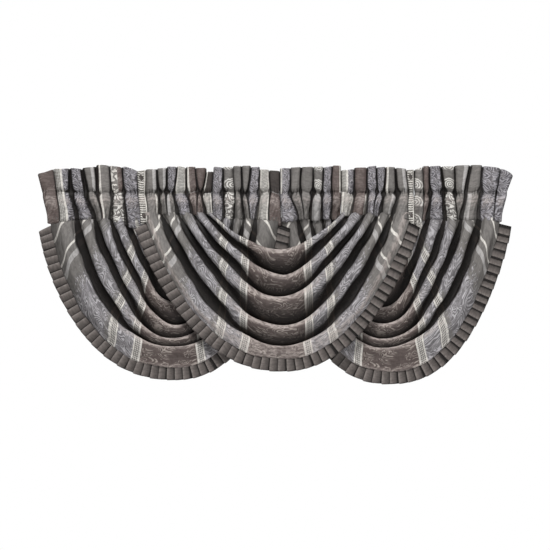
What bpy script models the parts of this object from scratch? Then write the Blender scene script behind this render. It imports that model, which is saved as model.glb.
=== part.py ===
"""Three waterfall valances on one rod line, as they hang with the middle one in front.

Each valance is two short rod-pocket headings, one draped swag body hung between them, and a strip of
knife pleats along the body's curved hem. Metres, +Z up, the face towards -Y. The origin is the middle of
the top edge, in the plane of the rod. Drops in the tables are measured down from the top edge.
"""

import math

import bmesh
import bpy
import numpy as np

CM = 0.01
MM = 0.001

# Cloth, as a hanging sheet with its turned hems
BODY_THICK = 2.0 * MM
HEADING_THICK = 2.0 * MM
TRIM_THICK = 1.0 * MM

# Rod pocket, seen in section: the slot takes a flat rod, and the stitch line closes it below
STITCH_DROP = 11.7 * CM
STITCH_FRONT = 13.0 * MM
STITCH_BACK = 9.5 * MM
POCKET_VALLEY = 10.5 * MM
POCKET_RIDGE = 29.0 * MM
POCKET_BACK = 10.5 * MM
POCKET_ROUND = 7.0 * MM
POCKET_FULL_ABOVE_STITCH = 9.0 * MM
BACK_TOP_DROP = 4.0 * MM
FLAT_END_FRONT = 13.0 * MM
RUFFLE_SHOULDER = 0.24
GAP_DIP = 3.0 * MM

# Seam between heading and body
SEAM_GAP = 1.6 * MM

# Swag body mesh: samples of a fold line, steps across one ridge-to-valley, and rounding of the ridges
LINE_SAMPLES = 400
STEPS_ACROSS = 3
RIDGE_WIDTH = 0.75
STEP_BIAS = 1.3

# Pleated trim
TRIM_DEPTH = 5.3 * CM
TRIM_LAP = 0.8 * CM
TRIM_BEHIND = 2.1 * MM
TRIM_LEAN = 4.0 * MM
TRIM_SLIDE_REACH = 20.0 * CM
HEM_PROBE = 0.004
HEM_PROBE_COUNT = 9
PLEAT_UNDERLAY = 12.0 * MM
PLEAT_STACK = (5.6 * MM, 3.5 * MM, 1.9 * MM, 0.0)
PLEAT_SAW = 0.03

# Fold lines from the hem up to the free top edge. Columns: name, left end, right end and lowest drop in
# cm, place of the lowest point in cm, fullness of the left and right half, squareness of the shoulder,
# and how far forward the line stands as a share of the fold's depth
CENTRE_FOLDS = (
    ("hem", -55.5, 56.4, 80.9, 2.7, 2.24, 2.10, 1.15, 0.55),
    ("ridge_1", -52.4, 51.7, 79.2, 2.7, 2.20, 2.15, 1.10, 0.90),
    ("valley_1", -48.6, 48.8, 75.0, 2.7, 1.95, 2.00, 1.00, 0.0),
    ("ridge_2", -45.0, 45.9, 67.0, 2.7, 2.07, 1.90, 1.00, 1.0),
    ("valley_2", -41.5, 42.9, 64.1, 2.7, 1.80, 1.75, 1.00, 0.0),
    ("ridge_3", -38.5, 40.0, 55.3, 2.7, 2.00, 1.65, 1.00, 1.0),
    ("valley_3", -35.4, 37.5, 52.8, 2.7, 1.75, 1.60, 1.00, 0.0),
    ("ridge_4", -32.9, 34.6, 46.1, 2.7, 1.75, 1.55, 1.00, 1.0),
    ("valley_4", -30.0, 30.8, 43.6, 2.7, 1.60, 1.50, 1.00, 0.0),
    ("ridge_5", -28.2, 28.4, 35.6, 2.7, 1.85, 1.55, 1.00, 0.9),
    ("top_edge", -27.0, 27.5, 36.9, 2.7, 1.85, 1.55, 1.00, 0.1),
)
LEFT_FOLDS = (
    ("hem", -94.5, 0.9, 84.7, -42.5, 2.30, 2.2, 1.50, 0.75),
    ("ridge_1", -88.2, -5.2, 79.6, -42.5, 2.10, 2.2, 1.50, 1.0),
    ("valley_1", -83.2, -9.0, 75.4, -42.5, 2.10, 2.2, 1.50, 0.0),
    ("ridge_2", -80.2, -11.3, 72.7, -42.5, 2.07, 2.1, 1.20, 1.0),
    ("valley_2", -76.0, -13.6, 69.6, -42.5, 1.85, 2.1, 1.20, 0.0),
    ("ridge_3", -73.1, -15.7, 67.0, -42.5, 1.80, 2.1, 1.10, 1.0),
    ("valley_3", -69.8, -17.8, 62.4, -42.5, 1.80, 2.1, 1.05, 0.0),
    ("ridge_4", -66.8, -19.9, 57.8, -42.5, 1.85, 2.0, 1.00, 0.8),
    ("valley_4", -63.5, -22.4, 53.2, -42.5, 1.80, 2.0, 1.00, 0.0),
    ("ridge_5", -60.4, -24.7, 47.3, -42.5, 1.80, 2.0, 1.00, 0.35),
    ("top_edge", -56.9, -26.2, 49.0, -42.5, 1.80, 2.0, 1.00, -0.2),
)
RIGHT_FOLDS = (
    ("hem", 1.2, 93.6, 86.4, 46.7, 2.3, 2.45, 1.20, 0.75),
    ("ridge_1", 5.7, 89.5, 80.9, 46.0, 2.2, 2.15, 1.20, 1.0),
    ("valley_1", 9.0, 84.8, 75.8, 45.4, 2.2, 2.10, 1.20, 0.0),
    ("ridge_2", 11.9, 80.7, 72.7, 44.8, 2.2, 2.20, 1.20, 1.0),
    ("valley_2", 14.2, 77.3, 69.6, 44.5, 2.1, 1.95, 1.20, 0.0),
    ("ridge_3", 16.6, 74.0, 66.6, 44.2, 2.1, 1.95, 1.20, 1.0),
    ("valley_3", 18.9, 70.6, 63.3, 43.8, 2.1, 1.95, 1.10, 0.0),
    ("ridge_4", 21.2, 66.8, 59.9, 43.4, 2.1, 2.20, 1.10, 0.8),
    ("valley_4", 23.0, 63.5, 55.7, 43.0, 2.0, 2.00, 1.10, 0.0),
    ("ridge_5", 24.9, 60.5, 49.4, 42.6, 2.0, 2.00, 1.10, 0.35),
    ("top_edge", 26.2, 57.9, 51.1, 42.6, 2.0, 2.00, 1.10, -0.2),
)

# How far back the valleys stand and how deep the folds are, in mm, along one half of a body.
# Columns: share of the way from the heading to the lowest point, valley plane, fold depth
FRONT_BODY = ((0.0, -22, 26), (0.22, -48, 48), (1.0, -54, 34))
OUTER_HALF = ((0.0, -4, 28), (0.14, 4, 46), (1.0, 0, 30))
LEFT_INNER_HALF = ((0.0, -10, 26), (0.06, -18, 26), (0.12, -18, 26), (0.5, -4, 14), (1.0, 0, 30))
RIGHT_INNER_HALF = ((0.0, 4, 24), (0.05, 11, 22), (0.12, 12, 22), (0.5, 16, 14), (1.0, 0, 30))

SWAGS = {
    "left": {
        "folds": LEFT_FOLDS,
        "depths": {-1: OUTER_HALF, 1: LEFT_INNER_HALF},
        "seam_drop": 22.0 * CM,
        "trim_start": 3.2 * CM,
        "trim_slide": {-1: 2.5 * CM, 1: 2.0 * CM},
        "steps_along": {-1: 11, 1: 8},
        "pleats": 52,
    },
    "centre": {
        "folds": CENTRE_FOLDS,
        "depths": {-1: FRONT_BODY, 1: FRONT_BODY},
        "seam_drop": 20.0 * CM,
        "trim_start": 4.4 * CM,
        "trim_slide": {-1: 1.5 * CM, 1: 1.5 * CM},
        "steps_along": {-1: 11, 1: 11},
        "pleats": 50,
    },
    "right": {
        "folds": RIGHT_FOLDS,
        "depths": {-1: RIGHT_INNER_HALF, 1: OUTER_HALF},
        "seam_drop": 22.0 * CM,
        "trim_start": 3.2 * CM,
        "trim_slide": {-1: 1.0 * CM, 1: 0.2 * CM},
        "steps_along": {-1: 8, 1: 11},
        "pleats": 50,
    },
}

# Headings from left to right on the rod. "ruffles" are the widths in mm of the gathered columns, and
# "rise" how far each column's top stands below the highest one; flat_end is the side whose last column is
# the ungathered end of the strip
HEADINGS = {
    "heading_left_outer": {
        "swag": "left", "side": -1, "start": -99.8, "bottom": (-95.7, -56.4), "flat_end": -1,
        "ruffles": (76, 57, 57, 61, 48, 58, 58), "rise": (27, 17, 15, 8, 1, 8, 8),
    },
    "heading_centre_left": {
        "swag": "centre", "side": -1, "start": -57.9, "bottom": (-56.4, -26.8), "flat_end": 0,
        "ruffles": (36, 45, 41, 42, 42, 34, 44, 26), "rise": (25, 17, 13, 4, 4, 8, 13, 20),
    },
    "heading_left_inner": {
        "swag": "left", "side": 1, "start": -26.5, "bottom": (-26.4, 1.2), "flat_end": 1,
        "ruffles": (41, 46, 36, 36, 37, 41, 38), "rise": (8, 11, 4, 4, 8, 21, 25),
    },
    "heading_right_inner": {
        "swag": "right", "side": -1, "start": 1.5, "bottom": (1.3, 26.5), "flat_end": 0,
        "ruffles": (41, 42, 50, 42, 38, 38), "rise": (13, 10, 8, 6, 4, 1),
    },
    "heading_centre_right": {
        "swag": "centre", "side": 1, "start": 27.1, "bottom": (27.1, 57.4), "flat_end": 0,
        "ruffles": (53, 56, 36, 40, 38, 45, 34), "rise": (17, 13, 3, 8, 8, 13, 25),
    },
    "heading_right_outer": {
        "swag": "right", "side": 1, "start": 57.8, "bottom": (57.6, 94.1), "flat_end": 1,
        "ruffles": (40, 24, 44, 57, 67, 50, 65, 62), "rise": (17, 8, 4, 8, 1, 1, 4, 22),
    },
}

COLOURS = {
    "body_cloth": (0.150, 0.135, 0.128),
    "heading_cloth": (0.165, 0.150, 0.150),
    "trim_cloth": (0.085, 0.075, 0.070),
}

COLLECTION = bpy.data.collections.new("waterfall_valances")


def clear_scene():
    for item in list(bpy.data.objects):
        bpy.data.objects.remove(item)


def make_material(name, colour):
    material = bpy.data.materials.new(name)
    material.use_nodes = True
    shader = material.node_tree.nodes["Principled BSDF"]
    shader.inputs["Base Color"].default_value = (*colour, 1.0)
    shader.inputs["Roughness"].default_value = 0.6
    shader.inputs["Metallic"].default_value = 0.0
    return material


def smooth(share):
    return share * share * (3.0 - 2.0 * share)


def depth_at(knots, along):
    """(valley plane, fold depth) in metres at shares along one half, eased between the knots."""
    places = [knot[0] for knot in knots]
    index = np.clip(np.searchsorted(places, along, side="right") - 1, 0, len(knots) - 2)
    table = np.array(knots, float)
    before, after = table[index], table[index + 1]
    share = smooth(np.clip((along - before[..., 0]) / (after[..., 0] - before[..., 0]), 0.0, 1.0))
    plane = before[..., 1] + (after[..., 1] - before[..., 1]) * share
    depth = before[..., 2] + (after[..., 2] - before[..., 2]) * share
    return plane * MM, depth * MM


def fold_line(fold, side, seam_drop, along):
    """(x, z) of a fold line at shares of its length from the heading to its lowest point."""
    _, left, right, lowest, middle, full_left, full_right, shoulder, _ = fold
    end, fullness = (left, full_left) if side < 0 else (right, full_right)
    turn = np.linspace(0.0, math.pi / 2, LINE_SAMPLES)
    out = np.cos(turn) ** (2.0 / fullness)
    down = np.sin(turn) ** (2.0 / shoulder)
    x = (middle + (end - middle) * out) * CM
    z = -(seam_drop + (lowest * CM - seam_drop) * down)
    length = np.concatenate([[0.0], np.cumsum(np.hypot(np.diff(x), np.diff(z)))])
    length /= length[-1]
    return np.interp(along, length, x), np.interp(along, length, z)


def body_points(swag, side, along, across):
    """Points of a body's sheet. along runs from the heading to the lowest point, across counts fold lines."""
    folds = swag["folds"]
    lines = [fold_line(fold, side, swag["seam_drop"], along) for fold in folds]
    x_lines = np.array([line[0] for line in lines])
    z_lines = np.array([line[1] for line in lines])
    forward = np.array([fold[-1] for fold in folds])
    low = np.clip(np.floor(across).astype(int), 0, len(folds) - 2)
    part = across - low
    wide = part + RIDGE_WIDTH / (2.0 * math.pi) * np.sin(2.0 * math.pi * part)
    swing = (1.0 - np.cos(math.pi * part)) / 2.0
    place = np.arange(along.size)
    x = x_lines[low, place] + (x_lines[low + 1, place] - x_lines[low, place]) * wide
    z = z_lines[low, place] + (z_lines[low + 1, place] - z_lines[low, place]) * wide
    reach = forward[low] + (forward[low + 1] - forward[low]) * swing
    plane, depth = depth_at(swag["depths"][side], along)
    return np.stack([x, plane - depth * reach, z], axis=1)


def sheet_object(name, shape, columns, rows, thick, material):
    """A grid of columns by rows steps laid over shape(column, row), made solid with Solidify."""
    mesh = bpy.data.meshes.new(name)
    grid = bmesh.new()
    bmesh.ops.create_grid(grid, x_segments=columns, y_segments=rows, size=1.0)
    grid.verts.ensure_lookup_table()
    flat = np.array([vertex.co for vertex in grid.verts])
    column = np.rint((flat[:, 0] + 1.0) / 2.0 * columns)
    row = np.rint((flat[:, 1] + 1.0) / 2.0 * rows)
    for vertex, point in zip(grid.verts, shape(column, row)):
        vertex.co = point
    bmesh.ops.triangulate(grid, faces=grid.faces, quad_method="SHORT_EDGE")
    grid.to_mesh(mesh)
    grid.free()
    item = bpy.data.objects.new(name, mesh)
    COLLECTION.objects.link(item)
    solid = item.modifiers.new("cloth thickness", "SOLIDIFY")
    solid.thickness = thick
    solid.offset = 0.0
    mesh.materials.append(material)
    return item


def make_body(name, swag, material):
    steps = swag["steps_along"]
    across_steps = STEPS_ACROSS * (len(swag["folds"]) - 1)

    def shape(column, row):
        points = np.empty((column.size, 3))
        across = row / STEPS_ACROSS
        for side in (-1, 1):
            from_end = column if side < 0 else steps[-1] + steps[1] - column
            mine = from_end < steps[side] + (0.5 if side < 0 else -0.5)
            along = (from_end[mine] / steps[side]) ** STEP_BIAS
            points[mine] = body_points(swag, side, along, across[mine])
        return points - np.array([0.0, 0.0, SEAM_GAP])

    return sheet_object(name, shape, steps[-1] + steps[1], across_steps, BODY_THICK, material)


def hem_frames(swag, places, spread):
    """Points, outward normals and length of the hem from the left heading to the right one.

    Each point stands as far back as the hem does anywhere within spread of it.
    """
    dense = np.linspace(0.0, 1.0, LINE_SAMPLES)
    left = body_points(swag, -1, dense, np.zeros(dense.size))
    right = body_points(swag, 1, dense, np.zeros(dense.size))[::-1]
    path = np.concatenate([left, right[1:]])
    run = np.concatenate([[0.0], np.cumsum(np.hypot(np.diff(path[:, 0]), np.diff(path[:, 2])))])
    share = run / run[-1]
    at = np.stack([np.interp(places, share, path[:, k]) for k in range(3)], axis=1)
    near = places[:, None] + np.linspace(-spread, spread, HEM_PROBE_COUNT)
    at[:, 1] = np.interp(near, share, path[:, 1]).max(axis=1)
    ahead = np.stack([np.interp(places + HEM_PROBE, share, path[:, k]) for k in range(3)], axis=1)
    behind = np.stack([np.interp(places - HEM_PROBE, share, path[:, k]) for k in range(3)], axis=1)
    tangent = ahead - behind
    normal = np.stack([tangent[:, 2], np.zeros(places.size), -tangent[:, 0]], axis=1)
    normal /= np.linalg.norm(normal, axis=1)[:, None]
    return at, normal, run[-1]


def make_trim(name, swag, material):
    """Knife pleats: each is a return folded back behind the next face, its front fold, and that face.

    Near the two ends of the hem the pleats hang down a little, so their outer ends slide along it.
    """
    pleats = swag["pleats"]
    _, _, total = hem_frames(swag, np.array([0.5]), 0.0)
    start = swag["trim_start"] / total
    pitch = (1.0 - 2.0 * start) / pleats

    def shape(column, row):
        pleat, step = np.divmod(column, 4)
        folded = step < 2
        place = start + pitch * pleat + np.where(folded, PLEAT_UNDERLAY / total, 0.0)
        from_left = np.clip(1.0 - place * total / TRIM_SLIDE_REACH, 0.0, 1.0)
        from_right = np.clip(1.0 - (1.0 - place) * total / TRIM_SLIDE_REACH, 0.0, 1.0)
        slide = (swag["trim_slide"][-1] * from_left**2 - swag["trim_slide"][1] * from_right**2) / total
        at, normal, _ = hem_frames(swag, place + slide * row, 0.5 * pitch)
        outward = -TRIM_LAP + (TRIM_LAP + TRIM_DEPTH) * row
        outward = outward * (1.0 + PLEAT_SAW * np.where(folded, -1.0, 1.0) * row)
        points = at + normal * outward[:, None]
        points[:, 1] += TRIM_BEHIND + np.choose(step.astype(int), PLEAT_STACK) + TRIM_LEAN * row
        return points - np.array([0.0, 0.0, SEAM_GAP])

    return sheet_object(name, shape, 4 * pleats, 1, TRIM_THICK, material)


def heading_stations(spec):
    """Top place, front reach and rise of each station along a heading, three to a ruffle."""
    edge, stations = spec["start"] * CM, []
    last = len(spec["ruffles"]) - 1
    before = spec["rise"][0]
    for index, (width, rise) in enumerate(zip(spec["ruffles"], spec["rise"])):
        wide = width * MM
        flat = (spec["flat_end"] < 0 and index == 0) or (spec["flat_end"] > 0 and index == last)
        ridge = FLAT_END_FRONT if flat else POCKET_RIDGE
        stations.append((edge, POCKET_VALLEY, (rise + before) / 2.0 * MM + GAP_DIP))
        stations.append((edge + wide * RUFFLE_SHOULDER, ridge, rise * MM))
        stations.append((edge + wide * (1.0 - RUFFLE_SHOULDER), ridge, rise * MM))
        edge += wide
        before = rise
    stations.append((edge, POCKET_VALLEY, before * MM + GAP_DIP))
    return np.array(stations)


def make_heading(name, spec, material):
    """The strip's cloth runs up the skirt and the pocket's front, over the top and down the back."""
    swag = SWAGS[spec["swag"]]
    stations = heading_stations(spec)
    first, final = stations[0, 0], stations[-1, 0]
    low, high = spec["bottom"][0] * CM, spec["bottom"][1] * CM
    full_drop = STITCH_DROP - POCKET_FULL_ABOVE_STITCH
    fold_count = len(swag["folds"]) - 1
    count = fold_count * STEPS_ACROSS + 1
    across = np.linspace(0.0, fold_count, count)
    seam = body_points(swag, spec["side"], np.zeros(count), across)
    seam = seam[np.argsort(seam[:, 0])]

    def shape(column, row):
        x_top, front, rise = stations[column.astype(int)].T
        x_seam = low + (x_top - first) / (final - first) * (high - low)
        seam_front = np.interp(x_seam, seam[:, 0], seam[:, 1])
        one = np.ones(column.size)
        line = row.astype(int)
        y = np.choose(line, [
            seam_front, -STITCH_FRONT * one, -front, -front, -front + POCKET_ROUND,
            POCKET_BACK * one, POCKET_BACK * one, -STITCH_BACK * one,
        ])
        drop = np.choose(line, [
            swag["seam_drop"] * one, STITCH_DROP * one, full_drop * one, rise + POCKET_ROUND,
            rise, rise + BACK_TOP_DROP, full_drop * one, STITCH_DROP * one,
        ])
        below = np.clip(drop / swag["seam_drop"], 0.0, 1.0)
        x = x_top + (x_seam - x_top) * below
        return np.stack([x, y, -drop], axis=1)

    return sheet_object(name, shape, len(stations) - 1, 7, HEADING_THICK, material)


def main():
    clear_scene()
    bpy.context.scene.collection.children.link(COLLECTION)
    materials = {name: make_material(name, colour) for name, colour in COLOURS.items()}
    for name, swag in SWAGS.items():
        make_body("body_" + name, swag, materials["body_cloth"])
        make_trim("trim_" + name, swag, materials["trim_cloth"])
    for name, spec in HEADINGS.items():
        make_heading(name, spec, materials["heading_cloth"])


main()
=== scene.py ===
import math

import bmesh
import bpy
import numpy as np
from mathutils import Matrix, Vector


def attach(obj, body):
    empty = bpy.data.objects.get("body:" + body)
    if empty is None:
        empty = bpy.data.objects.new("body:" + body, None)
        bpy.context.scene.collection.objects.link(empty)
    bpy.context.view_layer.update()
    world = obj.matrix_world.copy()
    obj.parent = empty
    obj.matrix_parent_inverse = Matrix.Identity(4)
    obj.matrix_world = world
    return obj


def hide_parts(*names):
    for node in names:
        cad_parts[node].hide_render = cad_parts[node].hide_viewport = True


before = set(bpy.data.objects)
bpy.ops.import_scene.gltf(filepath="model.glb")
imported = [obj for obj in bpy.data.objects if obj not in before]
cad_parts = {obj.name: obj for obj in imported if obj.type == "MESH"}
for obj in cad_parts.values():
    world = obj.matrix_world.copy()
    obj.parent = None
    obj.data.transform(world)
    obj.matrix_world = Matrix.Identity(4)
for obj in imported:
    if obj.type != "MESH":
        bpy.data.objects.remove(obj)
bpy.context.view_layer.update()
print("frame loaded")

cm = 0.01
mm = 0.001


# Camera, straight on and level with the middle of the set

cameraSettings = {
    "place": (-0.0063, -9.0, -0.461),
    "lookAt": (-0.0063, 0.0, -0.461),
    "lens": 140.6,
    "sensor": 36.0,
}


def makeCamera(settings):
    data = bpy.data.cameras.new("camera")
    data.lens = settings["lens"]
    data.sensor_width = settings["sensor"]
    camera = bpy.data.objects.new("camera", data)
    bpy.context.scene.collection.objects.link(camera)
    camera.location = settings["place"]
    aim = Vector(settings["lookAt"]) - Vector(settings["place"])
    camera.rotation_euler = aim.to_track_quat("-Z", "Y").to_euler()
    bpy.context.scene.camera = camera


makeCamera(cameraSettings)


# Node helpers

def feed(tree, socket, value):
    if isinstance(value, bpy.types.NodeSocket):
        tree.links.new(value, socket)
    else:
        socket.default_value = value


def maths(tree, operation, *values, clamp=False):
    made = tree.nodes.new("ShaderNodeMath")
    made.operation = operation
    made.use_clamp = clamp
    for socket, value in zip(made.inputs, values):
        feed(tree, socket, value)
    return made.outputs[0]


def blendColour(tree, share, first, second, mode="MIX"):
    made = tree.nodes.new("ShaderNodeMix")
    made.data_type = "RGBA"
    made.blend_type = mode
    feed(tree, made.inputs[0], share)
    feed(tree, made.inputs[6], first)
    feed(tree, made.inputs[7], second)
    return made.outputs[2]


def smoothStep(tree, value, low, high):
    made = tree.nodes.new("ShaderNodeMapRange")
    made.interpolation_type = "SMOOTHSTEP"
    feed(tree, made.inputs["Value"], value)
    feed(tree, made.inputs["From Min"], low)
    feed(tree, made.inputs["From Max"], high)
    return made.outputs["Result"]


def splitVector(tree, vector):
    made = tree.nodes.new("ShaderNodeSeparateXYZ")
    tree.links.new(vector, made.inputs[0])
    return made.outputs[0], made.outputs[1]


def joinVector(tree, x, y, z=0.0):
    made = tree.nodes.new("ShaderNodeCombineXYZ")
    for socket, value in zip(made.inputs, (x, y, z)):
        feed(tree, socket, value)
    return made.outputs[0]


def unevenness(tree, place, detail, scale=1.0, distortion=0.0):
    made = tree.nodes.new("ShaderNodeTexNoise")
    made.noise_dimensions = "2D"
    made.inputs["Scale"].default_value = scale
    made.inputs["Detail"].default_value = detail
    made.inputs["Distortion"].default_value = distortion
    tree.links.new(place, made.inputs["Vector"])
    return made.outputs["Fac"]


def startGroup(name, inputs, outputs):
    group = bpy.data.node_groups.new(name, "ShaderNodeTree")
    for label, kind, value in inputs:
        socket = group.interface.new_socket(name=label, in_out="INPUT", socket_type=kind)
        if value is not None:
            socket.default_value = value
    for label, kind in outputs:
        group.interface.new_socket(name=label, in_out="OUTPUT", socket_type=kind)
    entry = group.nodes.new("NodeGroupInput")
    leave = group.nodes.new("NodeGroupOutput")
    return group, entry.outputs, leave.inputs


def useGroup(tree, group, **values):
    made = tree.nodes.new("ShaderNodeGroup")
    made.node_tree = group
    for label, value in values.items():
        feed(tree, made.inputs[label], value)
    return made.outputs


# Shared effects. Every Place is a point on the flat cloth, in metres

def stretchPlace(tree, given):
    along, across = splitVector(tree, given["Place"])
    return joinVector(
        tree, maths(tree, "DIVIDE", along, given["Length"]), maths(tree, "DIVIDE", across, given["Thick"])
    )


def makeScrollGroup():
    tree, given, out = startGroup(
        "scroll motif",
        [("Place", "NodeSocketVector", None), ("Length", "NodeSocketFloat", 0.06),
         ("Thick", "NodeSocketFloat", 0.03), ("Rings", "NodeSocketFloat", 11.0)],
        [("Mask", "NodeSocketFloat"), ("Feather", "NodeSocketFloat")],
    )
    stretched = stretchPlace(tree, given)
    contours = unevenness(tree, stretched, 0.7, distortion=0.5)
    turns = maths(tree, "MULTIPLY", contours, given["Rings"])
    wave = maths(tree, "SINE", maths(tree, "MULTIPLY", turns, 2.0 * math.pi))
    feather = unevenness(tree, stretched, 2.0, scale=2.2)
    tree.links.new(smoothStep(tree, wave, -0.25, 0.55), out["Mask"])
    tree.links.new(maths(tree, "SUBTRACT", feather, 0.5), out["Feather"])
    return tree


def makeStrokeGroup():
    tree, given, out = startGroup(
        "damask strokes",
        [("Place", "NodeSocketVector", None), ("Length", "NodeSocketFloat", 0.04),
         ("Thick", "NodeSocketFloat", 0.012), ("Turns", "NodeSocketFloat", 52.0)],
        [("Mask", "NodeSocketFloat")],
    )
    stretched = stretchPlace(tree, given)
    contours = unevenness(tree, stretched, 1.5, distortion=0.7)
    wave = maths(tree, "SINE", maths(tree, "MULTIPLY", contours, given["Turns"]))
    contour = smoothStep(tree, wave, 0.45, 0.95)
    breaks = unevenness(tree, stretched, 2.0, scale=1.1)
    kept = smoothStep(tree, breaks, 0.38, 0.50)
    tree.links.new(maths(tree, "MULTIPLY", contour, kept), out["Mask"])
    return tree


def makeLatticeGroup():
    tree, given, out = startGroup(
        "dotted lattice",
        [("Place", "NodeSocketVector", None), ("Pitch", "NodeSocketFloat", 0.01),
         ("Fill", "NodeSocketFloat", 0.0)],
        [("Mask", "NodeSocketFloat")],
    )
    along, across = splitVector(tree, given["Place"])
    turn = maths(tree, "DIVIDE", 2.0 * math.pi, given["Pitch"])
    first = maths(tree, "SINE", maths(tree, "MULTIPLY", maths(tree, "ADD", along, across), turn))
    second = maths(tree, "SINE", maths(tree, "MULTIPLY", maths(tree, "SUBTRACT", along, across), turn))
    cross = maths(tree, "MULTIPLY", first, second)
    lowEdge = maths(tree, "SUBTRACT", given["Fill"], 0.25)
    highEdge = maths(tree, "ADD", given["Fill"], 0.25)
    tree.links.new(smoothStep(tree, cross, lowEdge, highEdge), out["Mask"])
    return tree


# Waves a metre along and across the cloth, of its thick threads and of its patches of uneven tone; the patches
# also make the painted highlight on the crests patchy
slubScale = (420.0, 60.0)
patchScale = (48.0, 110.0)


def makeWeaveGroup():
    tree, given, out = startGroup(
        "satin weave",
        [("Place", "NodeSocketVector", None), ("Pitch", "NodeSocketFloat", 0.0011)],
        [("Height", "NodeSocketFloat"), ("Slub", "NodeSocketFloat"), ("Patch", "NodeSocketFloat")],
    )
    along, across = splitVector(tree, given["Place"])
    turn = maths(tree, "DIVIDE", 2.0 * math.pi, given["Pitch"])
    warp = maths(tree, "SINE", maths(tree, "MULTIPLY", along, turn))
    weft = maths(tree, "SINE", maths(tree, "MULTIPLY", across, turn))
    height = maths(tree, "MULTIPLY_ADD", maths(tree, "MULTIPLY", warp, weft), 0.5, 0.5)
    tree.links.new(height, out["Height"])
    for label, scale, detail in (("Slub", slubScale, 3.0), ("Patch", patchScale, 1.5)):
        stretched = joinVector(
            tree, maths(tree, "MULTIPLY", along, scale[0]), maths(tree, "MULTIPLY", across, scale[1])
        )
        tree.links.new(unevenness(tree, stretched, detail), out[label])
    return tree


scrollGroup = makeScrollGroup()
strokeGroup = makeStrokeGroup()
latticeGroup = makeLatticeGroup()
weaveGroup = makeWeaveGroup()
print("shared effects made")


# Stripes of the cloth. Columns: where it starts in cm, colour, share of scrolls, dots and strokes

cloth = {
    "taupe": (0.190, 0.178, 0.168),
    "lilac": (0.225, 0.212, 0.219),
    "brown": (0.142, 0.108, 0.100),
    "dotted": (0.150, 0.140, 0.132),
    "satin": (0.430, 0.415, 0.405),
    "cream": (0.720, 0.690, 0.640),
    "dark": (0.055, 0.046, 0.042),
}
plain = (0.0, 0.0, 0.0)
scrolls = (1.0, 0.0, 0.0)
dots = (0.0, 1.0, 0.0)
strokes = (0.0, 0.0, 1.0)

# From the middle of the swag outwards, alike on both sides
bodyStripes = [
    (0.0, "brown", strokes),
    (12.0, "cream", plain),
    (12.8, "dotted", dots),
    (15.3, "cream", plain),
    (16.1, "lilac", scrolls),
    (23.7, "cream", plain),
    (24.5, "dotted", dots),
    (27.0, "cream", plain),
    (27.8, "taupe", plain),
    (30.0, "lilac", scrolls),
    (46.0, "taupe", plain),
    (57.4, "satin", plain),
    (59.8, "taupe", plain),
    (62.9, "cream", plain),
    (63.9, "taupe", plain),
    (73.6, "cream", plain),
    (74.9, "taupe", plain),
]
bodyStripeSpan = 90.0
scrollFrom = 29.0
scrollTo = 49.0

# Along the gathered strip; a ruffle shows the window of it that stripeWindows names
headingStripes = [
    (0.0, "brown", strokes),
    (5.0, "cream", plain),
    (5.8, "taupe", plain),
    (10.4, "satin", plain),
    (11.8, "taupe", plain),
    (15.0, "cream", plain),
    (15.7, "lilac", scrolls),
    (21.3, "cream", plain),
    (22.2, "dotted", dots),
    (25.8, "cream", plain),
    (26.7, "lilac", scrolls),
    (30.0, "dark", plain),
    (33.8, "cream", plain),
    (34.6, "brown", strokes),
    (38.0, "taupe", plain),
    (44.2, "dark", plain),
    (48.0, "cream", plain),
    (48.7, "taupe", plain),
    (58.0, "cream", plain),
    (60.4, "brown", strokes),
    (62.5, "satin", plain),
    (66.0, "lilac", scrolls),
]
headingStripeSpan = 70.0
stripeWindows = {
    "brown": (0.3, 4.7),
    "brownCream": (1.2, 6.1),
    "lilacEnd": (66.2, 69.9),
    "creamBrown": (33.5, 37.6),
    "creamTaupe": (4.5, 9.4),
    "taupeBand": (7.8, 12.6),
    "satinTaupe": (10.2, 14.8),
    "taupe": (6.2, 10.0),
    "lilac": (15.9, 21.1),
    "creamLilac": (14.7, 20.4),
    "dotted": (21.1, 27.0),
    "dottedTaupe": (23.4, 29.9),
    "dark": (30.3, 33.6),
    "taupeCream": (9.6, 4.6),
    "darkCream": (35.0, 30.3),
    "scallop": (38.4, 43.2),
    "scallopLeft": (41.0, 43.9),
    "scallopRight": (38.2, 41.0),
    "ladder": (44.4, 49.1),
    "curl": (52.0, 57.0),
    "leafBrown": (57.8, 62.3),
    "satin": (62.6, 65.8),
}


def stripeRamp(tree, factor, stripes, span, pick):
    ramp = tree.nodes.new("ShaderNodeValToRGB")
    ramp.color_ramp.interpolation = "CONSTANT"
    elements = ramp.color_ramp.elements
    while len(elements) > 1:
        elements.remove(elements[-1])
    for index, (start, colour, motif) in enumerate(stripes):
        element = elements[0] if index == 0 else elements.new(start / span)
        element.color = (*(cloth[colour] if pick == "colour" else motif), 1.0)
    tree.links.new(factor, ramp.inputs["Fac"])
    return ramp.outputs["Color"]


def namedAttribute(tree, name):
    made = tree.nodes.new("ShaderNodeAttribute")
    made.attribute_name = name
    return made.outputs["Fac"]


def splitColour(tree, colour):
    made = tree.nodes.new("ShaderNodeSeparateColor")
    tree.links.new(colour, made.inputs[0])
    return made.outputs[0], made.outputs[1], made.outputs[2]


def startMaterial(name, roughness, sheen):
    material = bpy.data.materials.new(name)
    material.use_nodes = True
    tree = material.node_tree
    shader = tree.nodes["Principled BSDF"]
    shader.inputs["Roughness"].default_value = roughness
    shader.inputs["Sheen Weight"].default_value = sheen
    shader.inputs["Specular IOR Level"].default_value = 0.25
    shader.inputs["Sheen Roughness"].default_value = 0.4
    uv = tree.nodes.new("ShaderNodeUVMap")
    uv.uv_map = "cloth"
    return material, tree, shader, uv.outputs["UV"]
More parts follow.
